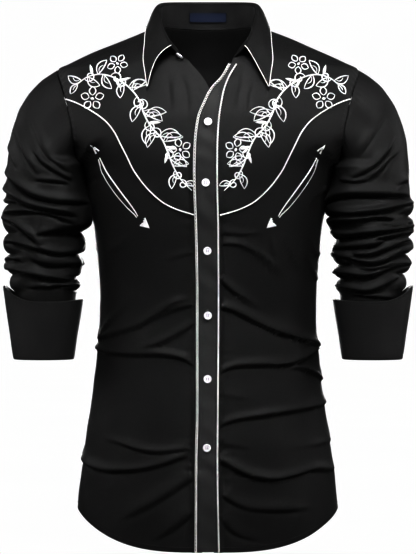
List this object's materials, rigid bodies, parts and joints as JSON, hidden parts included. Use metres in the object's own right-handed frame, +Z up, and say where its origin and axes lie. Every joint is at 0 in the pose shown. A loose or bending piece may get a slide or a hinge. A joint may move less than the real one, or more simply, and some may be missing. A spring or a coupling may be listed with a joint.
{
  "type": "western shirt",
  "caption": "Worn western shirt: buttoned front, spread collar, curved yokes with white cord, smile pockets and turned-back cuffs.",
  "frame": {"origin": "middle of the neck opening at the height of the collar seam", "axes": "+Z up, +X towards the wearer's left, the front faces -Y"},
  "size_m": [0.5858, 0.2522, 0.7839],
  "materials": {
    "black_satin": "black cotton satin with a soft sheen",
    "white_cord": "white twisted piping cord",
    "white_thread": "white rayon satin stitch",
    "pearl_button": "pearly white four-hole button",
    "label_navy": "bare navy woven label"
  },
  "bodies": {
    "root": {"back": "black_satin", "back_yoke": "black_satin", "front_left": "black_satin", "front_right": "black_satin", "front_yoke_left": "black_satin", "front_yoke_right": "black_satin", "sleeve_left": "black_satin", "sleeve_right": "black_satin", "cuff_left": "black_satin", "cuff_right": "black_satin", "collar_stand": "black_satin", "collar_leaf": "black_satin", "placket": "black_satin", "pocket_welt_left": "black_satin", "pocket_welt_right": "black_satin", "yoke_cord_left": "white_cord", "yoke_cord_right": "white_cord", "placket_cord_left": "white_cord", "placket_cord_right": "white_cord", "collar_piping_outer": "white_cord", "collar_piping_left": "white_cord", "collar_piping_right": "white_cord", "pocket_piping_upper_left": "white_cord", "pocket_piping_upper_right": "white_cord", "pocket_piping_lower_left": "white_cord", "pocket_piping_lower_right": "white_cord", "pocket_arrow_top_left": "white_thread", "pocket_arrow_top_right": "white_thread", "pocket_arrow_bottom_left": "white_thread", "pocket_arrow_bottom_right": "white_thread", "button_1": "pearl_button", "button_2": "pearl_button", "button_3": "pearl_button", "button_4": "pearl_button", "button_5": "pearl_button", "button_6": "pearl_button", "collar_button": "pearl_button", "neck_label": "label_navy"}
  },
  "joints": []
}
